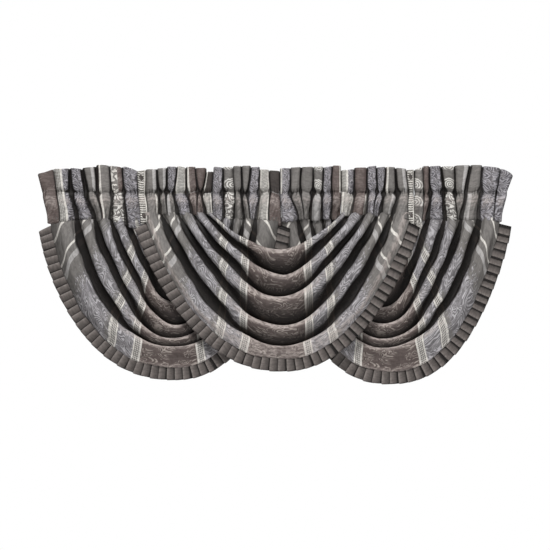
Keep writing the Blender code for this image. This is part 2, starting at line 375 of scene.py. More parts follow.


# Limits of the thread and patch masks, the tones that they give, and how patchy the painted highlight on the
# crests is
finishSettings = {
    "slubLimits": (0.25, 0.75),
    "slubTones": (0.90, 1.08),
    "patchLimits": (0.36, 0.60),
    "patchTones": (0.86, 1.10),
    "crestPatchy": 0.55,
    "crestLeast": 0.25,
    "slubHeight": 0.6,
}


def toneBy(tree, colour, mask, tones):
    dim, bright = [(tone, tone, tone, 1.0) for tone in tones]
    return blendColour(tree, 1.0, colour, blendColour(tree, mask, dim, bright), "MULTIPLY")


def finishCloth(tree, shader, uv, colour, settings):
    finish = finishSettings
    weave = useGroup(tree, weaveGroup, Place=uv, Pitch=settings["weavePitch"])
    slub = smoothStep(tree, weave["Slub"], *finish["slubLimits"])
    patch = smoothStep(tree, weave["Patch"], *finish["patchLimits"])
    colour = toneBy(tree, colour, slub, finish["slubTones"])
    colour = toneBy(tree, colour, patch, finish["patchTones"])

    # The fold shade is painted light and shade: a positive one is painted shade in the hollows, a negative one
    # a painted highlight on the crests, made patchy by the patch mask
    shade = namedAttribute(tree, "foldShade")
    paintedShading = maths(tree, "MULTIPLY_ADD", patch, finish["crestPatchy"], finish["crestLeast"])
    crest = maths(tree, "MULTIPLY", maths(tree, "MAXIMUM", maths(tree, "MULTIPLY", shade, -1.0), 0.0), paintedShading)
    colour = blendColour(tree, crest, colour, settings["crest"])
    hollow = maths(tree, "MAXIMUM", shade, 0.0)
    colour = blendColour(tree, hollow, colour, settings["shade"], "MULTIPLY")
    tree.links.new(colour, shader.inputs["Base Color"])
    bump = tree.nodes.new("ShaderNodeBump")
    bump.inputs["Strength"].default_value = settings["bumpStrength"]
    bump.inputs["Distance"].default_value = settings["bumpDepth"]
    height = maths(tree, "MULTIPLY_ADD", weave["Slub"], finish["slubHeight"], weave["Height"])
    tree.links.new(height, bump.inputs["Height"])
    tree.links.new(bump.outputs["Normal"], shader.inputs["Normal"])


bodyClothSettings = {
    "roughness": 0.5,
    "sheen": 0.05,
    "scrollLength": 0.085,
    "scrollThick": 0.034,
    "scrollRings": 10.0,
    "scrollLight": (0.48, 0.463, 0.478, 1.0),
    "scrollDeep": (0.178, 0.168, 0.175, 1.0),
    "featherReach": 0.22,
    "edgeLength": 0.05,
    "edgeThick": 0.008,
    "innerMiddle": 0.199,
    "innerHalf": 0.038,
    "dotPitch": 0.0160,
    "dotLight": (0.64, 0.610, 0.570, 1.0),
    "strokeLength": 0.080,
    "strokeThick": 0.030,
    "strokeLight": (0.40, 0.350, 0.315, 1.0),
    "strokeDeep": (0.080, 0.064, 0.058, 1.0),
    "weavePitch": 0.0012,
    # shade is the colour of the painted shade in the hollows, crest the colour of the painted highlight on the
    # crests
    "shade": (0.032, 0.024, 0.020, 1.0),
    "crest": (0.520, 0.455, 0.425, 1.0),
    "bumpStrength": 0.5,
    "bumpDepth": 0.0006,
}


def jacquardColour(tree, uv, base, motif, settings):
    scrollShare, dotShare, strokeShare = splitColour(tree, motif)
    scroll = useGroup(tree, scrollGroup, Place=uv, Length=settings["scrollLength"],
                      Thick=settings["scrollThick"], Rings=settings["scrollRings"])
    scrollTone = blendColour(tree, scroll["Mask"], settings["scrollDeep"], settings["scrollLight"])
    bare = smoothStep(tree, scroll["Feather"], 0.02, 0.12)
    scrollTone = blendColour(tree, maths(tree, "MULTIPLY", bare, 0.7), scrollTone, base)
    colour = blendColour(tree, scrollShare, base, scrollTone)
    lattice = useGroup(tree, latticeGroup, Place=uv, Pitch=settings["dotPitch"])
    dotTone = blendColour(tree, lattice["Mask"], base, settings["dotLight"])
    colour = blendColour(tree, dotShare, colour, dotTone)
    stroke = useGroup(
        tree, strokeGroup, Place=uv, Length=settings["strokeLength"], Thick=settings["strokeThick"]
    )
    ground = blendColour(tree, 0.35, base, settings["strokeDeep"])
    strokeTone = blendColour(tree, stroke["Mask"], ground, settings["strokeLight"])
    return blendColour(tree, strokeShare, colour, strokeTone)


def makeBodyCloth(settings):
    material, tree, shader, uv = startMaterial("striped jacquard", settings["roughness"], settings["sheen"])
    across, _ = splitVector(tree, uv)
    away = maths(tree, "ABSOLUTE", across)
    factor = maths(tree, "DIVIDE", away, bodyStripeSpan * cm)
    base = stripeRamp(tree, factor, bodyStripes, bodyStripeSpan, "colour")
    motif = stripeRamp(tree, factor, bodyStripes, bodyStripeSpan, "motif")

    # The scrolls run out in points past the edge of their stripe
    edge = useGroup(
        tree, scrollGroup, Place=uv, Length=settings["edgeLength"], Thick=settings["edgeThick"], Rings=1.0
    )
    pushed = maths(tree, "MULTIPLY_ADD", edge["Feather"], settings["featherReach"], away)
    inScroll = maths(tree, "MULTIPLY", maths(tree, "GREATER_THAN", pushed, scrollFrom * cm),
                     maths(tree, "LESS_THAN", pushed, scrollTo * cm))
    _, dotShare, strokeShare = splitColour(tree, motif)
    offInner = maths(tree, "ABSOLUTE", maths(tree, "SUBTRACT", away, settings["innerMiddle"]))
    inner = maths(tree, "LESS_THAN", offInner, settings["innerHalf"])
    joined = tree.nodes.new("ShaderNodeCombineColor")
    feed(tree, joined.inputs[0], maths(tree, "MAXIMUM", inScroll, inner))
    feed(tree, joined.inputs[1], dotShare)
    feed(tree, joined.inputs[2], strokeShare)
    colour = jacquardColour(tree, uv, base, joined.outputs[0], settings)
    finishCloth(tree, shader, uv, colour, settings)
    return material


headingClothSettings = dict(
    bodyClothSettings,
    scrollLength=0.034,
    scrollThick=0.032,
    scrollRings=7.0,
    scrollLight=(0.40, 0.385, 0.410, 1.0),
    scrollDeep=(0.112, 0.105, 0.115, 1.0),
    dotPitch=0.0125,
    dotLight=(0.62, 0.60, 0.56, 1.0),
    strokeLight=(0.22, 0.185, 0.170, 1.0),
    # Colour of the painted shade in the heading's dips and creases
    shade=(0.032, 0.025, 0.021, 1.0),
    ladderBand=(0.447, 0.480),
    scallopBand=(0.379, 0.4395),
    curlBand=(0.505, 0.575),
    leafBand=(0.579, 0.604),
    barPitch=0.0098,
    barLean=-0.15,
    barLight=(0.70, 0.68, 0.63, 1.0),
    arcMiddle=0.410,
    arcPitch=0.078,
    arcReach=0.030,
    arcRing=0.0078,
    arcLight=(0.74, 0.72, 0.68, 1.0),
    dotMiddle=0.467,
    dotPlaces=(0.072, -0.098),
    dotReach=0.011,
)


def between(tree, value, low, high):
    above = maths(tree, "GREATER_THAN", value, low)
    return maths(tree, "MULTIPLY", above, maths(tree, "LESS_THAN", value, high))


def reachFrom(tree, along, up, middle, height):
    across = maths(tree, "SUBTRACT", along, middle)
    above = maths(tree, "SUBTRACT", up, height)
    return maths(tree, "SQRT", maths(tree, "ADD",
                 maths(tree, "MULTIPLY", across, across), maths(tree, "MULTIPLY", above, above)))


def makeHeadingCloth(settings):
    material, tree, shader, uv = startMaterial("gathered jacquard", settings["roughness"], settings["sheen"])
    along, up = splitVector(tree, uv)
    factor = maths(tree, "DIVIDE", along, headingStripeSpan * cm)
    base = stripeRamp(tree, factor, headingStripes, headingStripeSpan, "colour")
    motif = stripeRamp(tree, factor, headingStripes, headingStripeSpan, "motif")
    colour = jacquardColour(tree, uv, base, motif, settings)
    uneven = useGroup(tree, scrollGroup, Place=uv, Length=0.022, Thick=0.022, Rings=2.6)

    # Bars of the ladder stripe, leaning and broken, with a round spot at each end
    inLadder = between(tree, along, *settings["ladderBand"])
    leaning = maths(tree, "MULTIPLY_ADD", along, settings["barLean"], up)
    bent = maths(tree, "MULTIPLY_ADD", uneven["Feather"], 0.004, leaning)
    turn = maths(tree, "MULTIPLY", bent, 2.0 * math.pi / settings["barPitch"])
    bars = smoothStep(tree, maths(tree, "SINE", turn), -0.45, 0.0)
    colour = blendColour(tree, maths(tree, "MULTIPLY", bars, inLadder), colour, settings["barLight"])
    for height in settings["dotPlaces"]:
        away = reachFrom(tree, along, up, settings["dotMiddle"], height)
        spot = smoothStep(tree, away, settings["dotReach"] * 1.15, settings["dotReach"])
        colour = blendColour(tree, maths(tree, "MULTIPLY", inLadder, spot), colour, (*cloth["dark"], 1.0))

    # Nested arcs of the scallop stripe, open below
    wrapped = maths(tree, "WRAP", up, settings["arcPitch"], 0.0)
    cycle = maths(tree, "SUBTRACT", wrapped, 0.45 * settings["arcPitch"])
    radius = reachFrom(tree, along, cycle, settings["arcMiddle"], 0.0)
    ring = maths(tree, "SINE", maths(tree, "MULTIPLY", radius, 2.0 * math.pi / settings["arcRing"]))
    inDisc = smoothStep(tree, radius, settings["arcReach"], settings["arcReach"] * 0.93)
    openBelow = smoothStep(tree, cycle, -0.018, -0.010)
    rings = maths(tree, "MULTIPLY", smoothStep(tree, ring, -0.5, 0.1), inDisc)
    arcs = maths(tree, "MULTIPLY", rings, openBelow)
    inScallop = between(tree, along, *settings["scallopBand"])
    colour = blendColour(tree, maths(tree, "MULTIPLY", arcs, inScallop), colour, settings["arcLight"])

    # Curls of the wide scroll stripe and leaves of the brown one
    curling = useGroup(tree, scrollGroup, Place=uv, Length=0.030, Thick=0.026, Rings=3.6)
    curls = smoothStep(tree, curling["Mask"], 0.35, 0.75)
    inCurl = between(tree, along, *settings["curlBand"])
    colour = blendColour(tree, maths(tree, "MULTIPLY", curls, inCurl), colour, settings["arcLight"])
    inLeaf = between(tree, along, *settings["leafBand"])
    leaf = maths(tree, "MULTIPLY", smoothStep(tree, uneven["Mask"], 0.3, 0.7), inLeaf)
    colour = blendColour(tree, leaf, colour, (*cloth["taupe"], 1.0))
    finishCloth(tree, shader, uv, colour, settings)
    return material


trimClothSettings = {
    "roughness": 0.55,
    "sheen": 0.05,
    "colour": (0.178, 0.154, 0.143, 1.0),
    "weavePitch": 0.0012,
    # shade is the colour of the painted shade between pleats, crest the colour of the painted highlight at
    # each front fold
    "shade": (0.036, 0.031, 0.028, 1.0),
    "crest": (0.30, 0.28, 0.26, 1.0),
    "bumpStrength": 0.4,
    "bumpDepth": 0.0005,
}


def makeTrimCloth(settings):
    material, tree, shader, uv = startMaterial("plain trim", settings["roughness"], settings["sheen"])
    finishCloth(tree, shader, uv, settings["colour"], settings)
    return material


bodyCloth = makeBodyCloth(bodyClothSettings)
headingCloth = makeHeadingCloth(headingClothSettings)
trimCloth = makeTrimCloth(trimClothSettings)
print("cloth materials made")


# Sheets

def smooth(share):
    return share * share * (3.0 - 2.0 * share)


def ease(value, low, high):
    return smooth(np.clip((value - low) / (high - low), 0.0, 1.0))


def sheetSize(points):
    wide = np.linalg.norm(np.diff(points, axis=1), axis=2).sum(axis=1).max()
    long = np.linalg.norm(np.diff(points, axis=0), axis=2).sum(axis=0).max()
    first = points[1:, 1:] - points[:-1, :-1]
    second = points[1:, :-1] - points[:-1, 1:]
    return wide, long, 0.5 * np.linalg.norm(np.cross(first, second), axis=2).sum()


def clothGrid(name, points, uv, shade, thick, material):
    rows, columns = points.shape[:2]
    mesh = bpy.data.meshes.new(name)
    grid = bmesh.new()
    grid.loops.layers.uv.new("cloth")
    bmesh.ops.create_grid(grid, x_segments=columns - 1, y_segments=rows - 1, size=1.0, calc_uvs=True)
    grid.to_mesh(mesh)
    grid.free()
    flat = np.empty(len(mesh.vertices) * 3)
    mesh.vertices.foreach_get("co", flat)
    flat = flat.reshape(-1, 3)
    column = np.rint((flat[:, 0] + 1.0) / 2.0 * (columns - 1)).astype(int)
    row = np.rint((flat[:, 1] + 1.0) / 2.0 * (rows - 1)).astype(int)
    mesh.vertices.foreach_set("co", points[row, column].ravel())
    corner = np.empty(len(mesh.loops), np.int32)
    mesh.loops.foreach_get("vertex_index", corner)
    mesh.uv_layers["cloth"].data.foreach_set("uv", uv[row, column][corner].ravel())
    attribute = mesh.attributes.new("foldShade", "FLOAT", "POINT")
    attribute.data.foreach_set("value", shade[row, column].astype(np.float32))
    mesh.shade_smooth()
    mesh.materials.append(material)
    item = bpy.data.objects.new(name, mesh)
    bpy.context.scene.collection.objects.link(item)
    solid = item.modifiers.new("cloth thickness", "SOLIDIFY")
    solid.thickness = thick
    solid.offset = 0.0
    return item


# Swag bodies. Fold columns: name, left end, right end and lowest drop in cm, place of the lowest point,
# fullness of the left and right half, squareness of the shoulder, share of the depth it stands forward

swags = {
    "centre": {
        "folds": [
            ("hem", -55.5, 56.4, 80.9, 2.7, 2.24, 2.10, 1.15, 0.55),
            ("ridge1", -52.4, 51.7, 79.2, 2.7, 2.20, 2.15, 1.10, 0.90),
            ("valley1", -48.6, 48.8, 75.0, 2.7, 1.95, 2.00, 1.00, 0.0),
            ("ridge2", -45.0, 45.9, 67.0, 2.7, 2.07, 1.90, 1.00, 1.0),
            ("valley2", -41.5, 42.9, 64.1, 2.7, 1.80, 1.75, 1.00, 0.0),
            ("ridge3", -38.5, 40.0, 55.3, 2.7, 2.00, 1.65, 1.00, 1.0),
            ("valley3", -35.4, 37.5, 52.8, 2.7, 1.75, 1.60, 1.00, 0.0),
            ("ridge4", -32.9, 34.6, 46.1, 2.7, 1.75, 1.55, 1.00, 1.0),
            ("valley4", -30.0, 30.8, 43.6, 2.7, 1.60, 1.50, 1.00, 0.0),
            ("ridge5", -28.2, 28.4, 35.6, 2.7, 1.85, 1.55, 1.00, 0.9),
            ("topEdge", -27.0, 27.5, 36.9, 2.7, 1.85, 1.55, 1.00, 0.1),
        ],
        "depths": {-1: [(0.0, -22, 26), (0.22, -48, 48), (1.0, -54, 34)],
                   1: [(0.0, -22, 26), (0.22, -48, 48), (1.0, -54, 34)]},
        "seamDrop": 20.0 * cm,
        "stripeCentre": -0.3 * cm,
        "trimStart": 4.4 * cm,
        "trimSlide": {-1: 1.5 * cm, 1: 1.5 * cm},
        "hemSlip": 1.0 * cm,
        "hemShade": 0.10,
        "hemLit": 1.0,
        "pouchLit": 0.60,
        "pleats": 50,
        "stepsAlong": {-1: 150, 1: 150},
    },
    "left": {
        "folds": [
            ("hem", -94.5, 0.9, 84.7, -42.5, 2.30, 2.2, 1.50, 0.75),
            ("ridge1", -88.2, -5.2, 79.6, -42.5, 2.10, 2.2, 1.50, 1.0),
            ("valley1", -83.2, -9.0, 75.4, -42.5, 2.10, 2.2, 1.50, 0.0),
            ("ridge2", -80.2, -11.3, 72.7, -42.5, 2.07, 2.1, 1.20, 1.0),
            ("valley2", -76.0, -13.6, 69.6, -42.5, 1.85, 2.1, 1.20, 0.0),
            ("ridge3", -73.1, -15.7, 67.0, -42.5, 1.80, 2.1, 1.10, 1.0),
            ("valley3", -69.8, -17.8, 62.4, -42.5, 1.80, 2.1, 1.05, 0.0),
            ("ridge4", -66.8, -19.9, 57.8, -42.5, 1.85, 2.0, 1.00, 0.8),
            ("valley4", -63.5, -22.4, 53.2, -42.5, 1.80, 2.0, 1.00, 0.0),
            ("ridge5", -60.4, -24.7, 47.3, -42.5, 1.80, 2.0, 1.00, 0.35),
            ("topEdge", -56.9, -26.2, 49.0, -42.5, 1.80, 2.0, 1.00, -0.2),
        ],
        "depths": {-1: [(0.0, -4, 28), (0.14, 4, 46), (1.0, 0, 30)],
                   1: [(0.0, -10, 26), (0.06, -18, 26), (0.12, -18, 26), (0.5, -4, 14), (1.0, 0, 30)]},
        "seamDrop": 22.0 * cm,
        "stripeCentre": -45.2 * cm,
        "trimStart": 3.2 * cm,
        "trimSlide": {-1: 2.5 * cm, 1: 2.0 * cm},
        "hemSlip": 1.8 * cm,
        "hemShade": 0.60,
        "hemLit": 0.0,
        "pouchLit": -0.22,
        "pleats": 52,
        "stepsAlong": {-1: 160, 1: 100},
    },
    "right": {
        "folds": [
            ("hem", 1.2, 93.6, 86.4, 46.7, 2.3, 2.45, 1.20, 0.75),
            ("ridge1", 5.7, 89.5, 80.9, 46.0, 2.2, 2.15, 1.20, 1.0),
            ("valley1", 9.0, 84.8, 75.8, 45.4, 2.2, 2.10, 1.20, 0.0),
            ("ridge2", 11.9, 80.7, 72.7, 44.8, 2.2, 2.20, 1.20, 1.0),
            ("valley2", 14.2, 77.3, 69.6, 44.5, 2.1, 1.95, 1.20, 0.0),
            ("ridge3", 16.6, 74.0, 66.6, 44.2, 2.1, 1.95, 1.20, 1.0),
            ("valley3", 18.9, 70.6, 63.3, 43.8, 2.1, 1.95, 1.10, 0.0),
            ("ridge4", 21.2, 66.8, 59.9, 43.4, 2.1, 2.20, 1.10, 0.8),
            ("valley4", 23.0, 63.5, 55.7, 43.0, 2.0, 2.00, 1.10, 0.0),
            ("ridge5", 24.9, 60.5, 49.4, 42.6, 2.0, 2.00, 1.10, 0.35),
            ("topEdge", 26.2, 57.9, 51.1, 42.6, 2.0, 2.00, 1.10, -0.2),
        ],
        "depths": {-1: [(0.0, 4, 24), (0.05, 11, 22), (0.12, 12, 22), (0.5, 16, 14), (1.0, 0, 30)],
                   1: [(0.0, -4, 28), (0.14, 4, 46), (1.0, 0, 30)]},
        "seamDrop": 22.0 * cm,
        "stripeCentre": 47.8 * cm,
        "trimStart": 3.2 * cm,
        "trimSlide": {-1: 1.0 * cm, 1: 0.2 * cm},
        "hemSlip": 2.0 * cm,
        "hemShade": 0.30,
        "hemLit": 0.0,
        "pouchLit": -0.22,
        "pleats": 50,
        "stepsAlong": {-1: 100, 1: 160},
    },
}

bodySettings = {
    "thick": 1.6 * mm,
    "stepsPerFold": 15,
    "lineSamples": 1200,
    "stepBias": 1.15,
    "ridgeWidth": (0.75, 1.12),
    "hemWidth": 0.15,
    "ridgeShare": 0.05,
    "litFrom": 0.450,
    "litFull": 0.505,
    "litWander": 0.05,
    "seamNarrow": 0.22,
    "narrowTo": 0.16,
    "pouchFrom": 0.50,
    "pouchFull": 0.92,
    "lipTuck": 0.8 * cm,
    "lipRise": 0.45 * cm,
    "lipOneAbove": 0.9 * cm,
    "pouchPower": 2.3,
    "belly": 6.0 * mm,
    "slantFrom": 0.08,
    "slantTo": 0.80,
    "slant": 2.0 * cm,
    "lipBack": 0.34,
    "lipTurn": 0.74,
    "drift": 2.4 * mm,
}


# Creases and dents, listed one by one. Columns: x and z of both ends in cm, half width in cm, depth in mm and
# how dark
creases = {
    "centre": [
        (-52.3, -30.2, -47.3, -44.8, 0.7, 2.6, 0.20), (-46.3, -50.5, -36.8, -65.0, 0.8, 2.4, 0.16),
        (-38.6, -29.6, -36.0, -34.8, 0.9, 3.2, 0.25), (-33.7, -39.8, -31.4, -43.4, 1.0, 3.4, 0.30),
        (-22.4, -29.2, -19.8, -32.0, 0.8, 2.8, 0.25), (-24.9, -53.0, -20.5, -57.5, 0.9, 3.0, 0.25),
        (24.7, -33.5, 28.2, -30.2, 0.9, 3.0, 0.25), (31.2, -41.5, 35.6, -36.0, 0.9, 3.2, 0.30),
        (42.4, -52.8, 49.5, -38.5, 0.8, 2.6, 0.20), (21.0, -56.0, 25.6, -50.5, 0.9, 3.0, 0.30),
        (-8.0, -76.6, 10.5, -77.4, 0.7, 2.0, 0.15), (15.5, -62.5, 23.5, -57.5, 0.6, 2.2, 0.20),
    ],
    "left": [
        (-90.6, -24.5, -88.4, -40.0, 0.7, 2.6, 0.22), (-86.8, -33.0, -81.5, -52.0, 0.9, 2.6, 0.15),
        (-79.5, -44.0, -77.0, -49.0, 0.9, 3.0, 0.25), (-70.8, -34.0, -69.2, -38.6, 0.9, 3.0, 0.28),
        (-66.0, -56.0, -62.4, -60.6, 0.9, 3.0, 0.25), (-57.4, -48.4, -54.5, -53.5, 0.8, 2.6, 0.25),
        (-47.0, -79.5, -33.0, -81.0, 0.8, 2.4, 0.20), (-74.0, -63.5, -64.5, -73.5, 0.8, 2.4, 0.16),
    ],
    "right": [
        (91.0, -27.0, 88.0, -42.0, 0.7, 2.6, 0.22), (84.6, -36.0, 82.0, -50.0, 0.9, 2.6, 0.16),
        (76.3, -40.0, 74.6, -46.0, 0.9, 3.0, 0.25), (69.0, -33.0, 67.6, -38.0, 0.9, 3.0, 0.28),
        (66.4, -58.0, 61.9, -63.2, 0.9, 3.0, 0.25), (57.0, -49.0, 54.0, -54.0, 0.8, 2.6, 0.25),
        (34.0, -78.0, 47.0, -80.5, 0.8, 2.4, 0.20), (64.0, -74.0, 73.5, -64.0, 0.8, 2.4, 0.16),
    ],
}


def pressCreases(points, shade, rows):
    for x1, z1, x2, z2, half, depth, dark in rows:
        start, run = np.array([x1, z1]) * cm, np.array([x2 - x1, z2 - z1]) * cm
        place = points[..., [0, 2]] - start
        share = np.clip(place @ run / (run @ run), 0.0, 1.0)
        off = np.linalg.norm(place - share[..., None] * run, axis=2)
        dent = np.exp(-((off / (half * cm)) ** 2)) * np.sin(math.pi * (0.1 + 0.8 * share))
        points[..., 1] += depth * mm * dent
        # Painted shade along each crease, where the row is not already in painted shade
        shade += np.where(shade < 0.3, dark * dent, 0.0)


def depthAt(knots, along):
    places = [knot[0] for knot in knots]
    index = np.clip(np.searchsorted(places, along, side="right") - 1, 0, len(knots) - 2)
    knotTable = np.array(knots, float)
    before, after = knotTable[index], knotTable[index + 1]
    share = smooth(np.clip((along - before[..., 0]) / (after[..., 0] - before[..., 0]), 0.0, 1.0))
    plane = before[..., 1] + (after[..., 1] - before[..., 1]) * share
    depth = before[..., 2] + (after[..., 2] - before[..., 2]) * share
    return plane * mm, depth * mm


def foldLine(fold, side, seamDrop, along):
    _, left, right, lowest, middle, fullLeft, fullRight, shoulder, _ = fold
    end, fullness = (left, fullLeft) if side < 0 else (right, fullRight)
    turn = np.linspace(0.0, math.pi / 2, bodySettings["lineSamples"])
    out = np.cos(turn) ** (2.0 / fullness)
    down = np.sin(turn) ** (2.0 / shoulder)
    x = (middle + (end - middle) * out) * cm
    z = -(seamDrop + (lowest * cm - seamDrop) * down)
    length = np.concatenate([[0.0], np.cumsum(np.hypot(np.diff(x), np.diff(z)))])
    run = length[-1] * (1.0 - along)
    length /= length[-1]
    return np.interp(along, length, x), np.interp(along, length, z), run


# Painted shade of a row across the folds: the valleys darkened with a crisp edge, the dark part narrower near
# the seam; on the hem band painted shade towards the hem and a painted highlight across its middle
def foldShade(swag, fold, part, wide, run, along):
    if fold == 0:
        shade = np.full(along.size, swag["hemShade"] * (1.0 - smooth(min(1.0, part / 0.9))))
        return shade - swag["hemLit"] * math.sin(math.pi * part) ** 2
    slow, quick = np.sin(run * 21.0 + 1.9 * fold), np.sin(run * 57.0 + 4.1 * fold)
    wander = bodySettings["litWander"] * (slow + 0.4 * quick)
    narrow = bodySettings["seamNarrow"] * (1.0 - ease(along, 0.0, bodySettings["narrowTo"]))
    return 1.0 - ease(wide + wander + narrow, bodySettings["litFrom"], bodySettings["litFull"])


def pouchRow(swag, fold, part):
    # How far forward a row across the pouches stands, and its painted shade: on the hem band painted
    # highlights along the hem and by the first lip, with a painted highlight across its middle in the centre
    # swag and painted shade there in the side swags; painted shade growing down each face towards its foot; a
    # painted highlight on each lip with painted shade just above it
    lipBack, turn = bodySettings["lipBack"], bodySettings["lipTurn"]
    tucked = lipBack * max(0.0, (part - turn) / (1.0 - turn)) ** 2
    if fold == 0:
        shade = -0.45 * (1.0 - smooth(min(1.0, part / 0.28)))
        shade = shade - swag["pouchLit"] * math.sin(math.pi * part) ** 0.7
        shade = shade - 0.8 * smooth(max(0.0, part - 0.86) / 0.14)
        return math.sin(math.pi / 2.0 * min(1.0, part / turn)) - tucked, shade
    if fold % 2 == 0:
        lip = smooth(min(1.0, max(0.0, part - 0.82) / 0.10))
        shade = (0.20 + 0.80 * smooth(min(1.0, (1.0 - part) / 0.85))) * (1.0 - lip) - 1.0 * lip
        return 1.0 - (1.0 - min(1.0, part / turn)) ** bodySettings["pouchPower"] - tucked, shade
    lip = smooth(min(1.0, max(0.0, part - 0.20) / 0.25))
    return lipBack + (1.0 - lipBack) * (1.0 - math.cos(math.pi * part)) / 2.0, lip - 1.0 * (1.0 - lip)


def bodyHalf(swag, side, along):
    folds = swag["folds"]
    steps = bodySettings["stepsPerFold"]
    lines = [foldLine(fold, side, swag["seamDrop"], along) for fold in folds]
    lineX = np.array([line[0] for line in lines])
    lineZ = np.array([line[1] for line in lines])
    forward = np.array([fold[-1] for fold in folds])
    plane, depth = depthAt(swag["depths"][side], along)
    lineY = plane - depth * forward[:, None]
    pouch = ease(along, bodySettings["pouchFrom"], bodySettings["pouchFull"])
    early, late = bodySettings["ridgeWidth"]
    width = early + (late - early) * ease(along, 0.0, 0.12)

    # In the pouches each valley is tucked down behind the lip below it
    pouchX, pouchZ = lineX.copy(), lineZ.copy()
    upX, upZ = lineX[2] - lineX[1], lineZ[2] - lineZ[1]
    span = np.hypot(upX, upZ)
    pouchX[1] = lineX[2] - upX / span * bodySettings["lipOneAbove"]
    pouchZ[1] = lineZ[2] - upZ / span * bodySettings["lipOneAbove"]
    for lip in (1, 3, 5, 7, 9):
        upX, upZ = lineX[lip + 1] - lineX[lip], lineZ[lip + 1] - lineZ[lip]
        span = np.maximum(np.hypot(upX, upZ), 1e-5)
        pouchX[lip + 1] = pouchX[lip] - upX / span * bodySettings["lipTuck"]
        pouchZ[lip + 1] = pouchZ[lip] - np.abs(upZ) / span * bodySettings["lipTuck"]

    rows, shades = [], []
    for fold in range(len(folds) - 1):
        last = fold == len(folds) - 2
        for step in range(steps + (1 if last else 0)):
            part = step / steps
            intoRidge = fold % 2 == 0
            share = part if intoRidge else 1.0 - part
            swing = (1.0 - math.cos(math.pi * share)) / 2.0
            bend = width if fold > 0 else bodySettings["hemWidth"]
            wide = share + bend / (2.0 * math.pi) * math.sin(2.0 * math.pi * share)
            if fold > 0:
                wide = wide - bodySettings["ridgeShare"] * share * (1.0 - share)
            across = wide if intoRidge else 1.0 - wide
            x = lineX[fold] + (lineX[fold + 1] - lineX[fold]) * across
            z = lineZ[fold] + (lineZ[fold + 1] - lineZ[fold]) * across
            reach = swing if intoRidge else 1.0 - swing
            y = lineY[fold] + (lineY[fold + 1] - lineY[fold]) * reach
            shade = foldShade(swag, fold, part, wide, lines[fold][2], along)
            if fold == 0:
                y = y - bodySettings["belly"] * math.sin(math.pi * part) ** 1.2

            px = pouchX[fold] + (pouchX[fold + 1] - pouchX[fold]) * part
            pz = pouchZ[fold] + (pouchZ[fold + 1] - pouchZ[fold]) * part
            if not intoRidge:
                pz = pz + bodySettings["lipRise"] * math.sin(math.pi * part)
            pReach, pShade = pouchRow(swag, fold, part)
            py = lineY[fold] + (lineY[fold + 1] - lineY[fold]) * pReach
            row = [x + (px - x) * pouch, y + (py - y) * pouch, z + (pz - z) * pouch]
            rows.append(np.stack(row, axis=1))
            shades.append(shade + (pShade - shade) * pouch)
    return np.array(rows), np.array(shades), lines


def makeBody(name, swag):
    halves = []
    for side in (-1, 1):
        along = np.linspace(0.0, 1.0, swag["stepsAlong"][side] + 1) ** bodySettings["stepBias"]
        points, shade, lines = bodyHalf(swag, side, along)
        foldX = np.array([line[0] for line in lines])
        foldRun = np.array([line[2] for line in lines])
        middle = np.array([fold[4] for fold in swag["folds"]]) * cm
        signed = side * foldRun + (middle - swag["stripeCentre"])[:, None]
        steps = bodySettings["stepsPerFold"]
        foldPlace = np.arange(points.shape[0]) / steps
        low = np.minimum(foldPlace.astype(int), foldX.shape[0] - 2)
        part = (foldPlace - low)[:, None]
        u = signed[low] + (signed[low + 1] - signed[low]) * part

        # Lines across the hem band lean over where the cloth turns under its first fold
        lean = ease(foldPlace, bodySettings["slantFrom"], bodySettings["slantTo"])[:, None]
        upward = ease(foldRun[0], 0.12, 0.6)[None, :]
        u = u - side * bodySettings["slant"] * (lean - np.minimum(foldPlace, 1.0)[:, None]) * upward
        u = u - side * swag["hemSlip"] * (1.0 - ease(foldPlace, 1.0, 3.0))[:, None] * upward
        halves.append((points, shade, u))
    points = np.concatenate([halves[0][0], halves[1][0][:, -2::-1]], axis=1)
    shade = np.concatenate([halves[0][1], halves[1][1][:, -2::-1]], axis=1)
    u = np.concatenate([halves[0][2], halves[1][2][:, -2::-1]], axis=1)

    # Hand-hung unevenness, a slow wander of the folds
    x, z = points[..., 0], points[..., 2]
    drift = bodySettings["drift"]
    lull = np.sin(math.pi * np.linspace(0.0, 1.0, points.shape[1]))[None, :] ** 0.5
    points[..., 1] += drift * lull * np.sin(x * 31.0 + z * 23.0 + 1.3)
    points[..., 2] += 0.8 * drift * lull * np.sin(x * 27.0 - z * 33.0 + 0.4)
    points[..., 0] += 0.8 * drift * lull * np.sin(z * 41.0 + x * 13.0 + 2.2)

    pressCreases(points, shade, creases[name])
    step = np.linalg.norm(np.diff(points, axis=0), axis=2)
    v = np.concatenate([np.zeros((1, points.shape[1])), np.cumsum(step, axis=0)])
    item = clothGrid("swag_" + name, points, np.stack([u, v], axis=2), shade, bodySettings["thick"], bodyCloth)
    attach(item, "root")
    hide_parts("body_" + name)
    print("swag made:", name, *(round(size, 3) for size in sheetSize(points)))
    return item


bodies = {name: makeBody(name, swag) for name, swag in swags.items()}


# Gathered headings. Edge columns, one row a dip between ruffles: x at the top, at the stitches and at the
# seam in cm, width of the dark dip at the same three in mm, how far the seam hangs lower in mm. Ruffle
# columns: how far its left and right top corners are below the highest in mm, its stripe above and below
# the stitches

